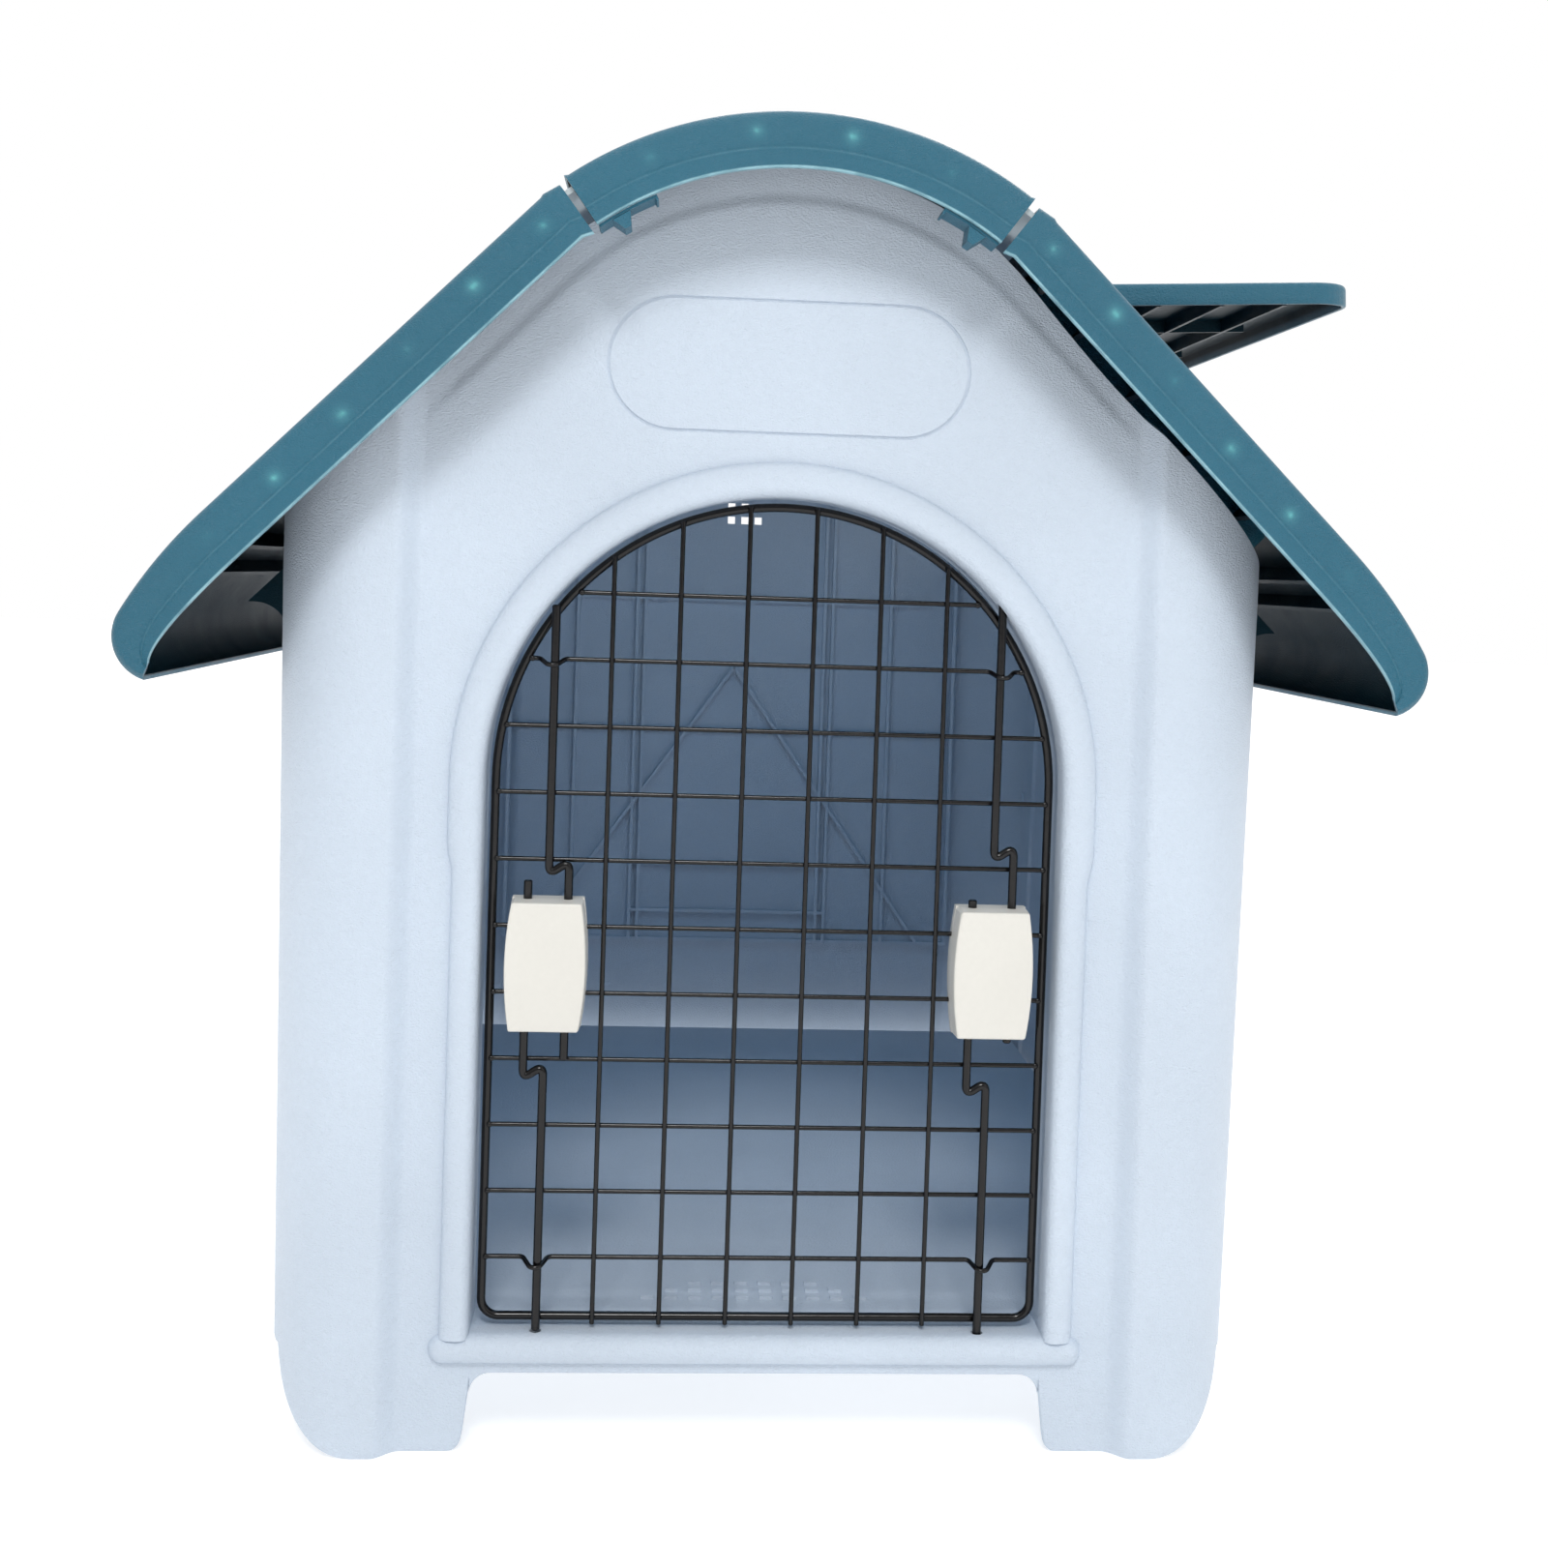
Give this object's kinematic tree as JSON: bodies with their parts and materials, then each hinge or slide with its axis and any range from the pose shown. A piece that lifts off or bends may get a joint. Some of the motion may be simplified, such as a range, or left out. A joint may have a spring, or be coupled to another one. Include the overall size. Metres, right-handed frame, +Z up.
{
  "type": "plastic dog kennel",
  "caption": "Moulded pet kennel on four feet with an arched wire door, sprung rod latches, a three-piece pitched roof and a tilting skylight flap.",
  "frame": {"origin": "centre of the footprint of the whole model, on the ground under the feet", "axes": "+X to the right seen from the front, +Y from the door towards the back, +Z up"},
  "size_m": [0.72, 0.875, 0.76],
  "materials": {
    "wall_plastic": "fine leather grain, pale blue",
    "roof_plastic": "satin with a fine grain, teal",
    "strip_plastic": "satin, light grey",
    "coated_wire": "glossy black dip coat",
    "latch_plastic": "satin, off-white",
    "steel": "zinc plated"
  },
  "bodies": {
    "root": {"front_panel": "wall_plastic", "back_panel": "wall_plastic", "left_side_panel": "wall_plastic", "right_side_panel": "wall_plastic", "floor_tray": "wall_plastic", "roof_left_panel": "roof_plastic", "roof_right_panel": "roof_plastic", "ridge_cap": "roof_plastic", "ridge_seal_strips": "strip_plastic", "ridge_clips": "roof_plastic", "eave_brackets": "roof_plastic", "bracket_screws": "steel", "wall_pins": "wall_plastic", "skylight_hinge_pins": "steel"},
    "skylight": {"skylight_flap": "roof_plastic"},
    "door": {"door_frame_wire": "coated_wire", "door_vertical_wires": "coated_wire", "door_horizontal_wires": "coated_wire", "left_latch_cover": "latch_plastic", "left_latch_plate": "latch_plastic", "right_latch_cover": "latch_plastic", "right_latch_plate": "latch_plastic", "latch_screws": "steel", "left_upper_spring": "steel", "left_lower_spring": "steel", "right_upper_spring": "steel", "right_lower_spring": "steel"},
    "left_upper_bolt": {"left_upper_rod": "coated_wire"},
    "left_lower_bolt": {"left_lower_rod": "coated_wire"},
    "right_upper_bolt": {"right_upper_rod": "coated_wire"},
    "right_lower_bolt": {"right_lower_rod": "coated_wire"}
  },
  "joints": [
    {"name": "door_swing", "type": "hinge", "parent": "root", "child": "door", "pos_m": [0.1284, -0.377, 0.28], "axis": [0, 0, 1], "range_deg": [0, 110]},
    {"name": "skylight_tilt", "type": "hinge", "parent": "root", "child": "skylight", "pos_m": [0.154, 0, 0.68598], "axis": [0, 1, 0], "range_deg": [-45, 48]},
    {"name": "left_latch_upper", "type": "slide", "parent": "door", "child": "left_upper_bolt", "axis": [0, 0, 1], "range_m": [0, 0.014], "deforming": ["left_upper_spring"]},
    {"name": "left_latch_lower", "type": "slide", "parent": "door", "child": "left_lower_bolt", "axis": [0, 0, -1], "range_m": [0, 0.014], "deforming": ["left_lower_spring"]},
    {"name": "right_latch_upper", "type": "slide", "parent": "door", "child": "right_upper_bolt", "axis": [0, 0, -1], "range_m": [0, 0.02], "stiffness_N_per_m": 100, "springref_m": -0.02, "deforming": ["right_upper_spring"]},
    {"name": "right_latch_lower", "type": "slide", "parent": "door", "child": "right_lower_bolt", "axis": [0, 0, 1], "range_m": [0, 0.02], "stiffness_N_per_m": 100, "springref_m": -0.02, "deforming": ["right_lower_spring"]}
  ],
  "couplings": [
    {"joint": "left_latch_lower", "follows": "left_latch_upper", "ratio": 1},
    {"joint": "right_latch_lower", "follows": "right_latch_upper", "ratio": 1}
  ]
}
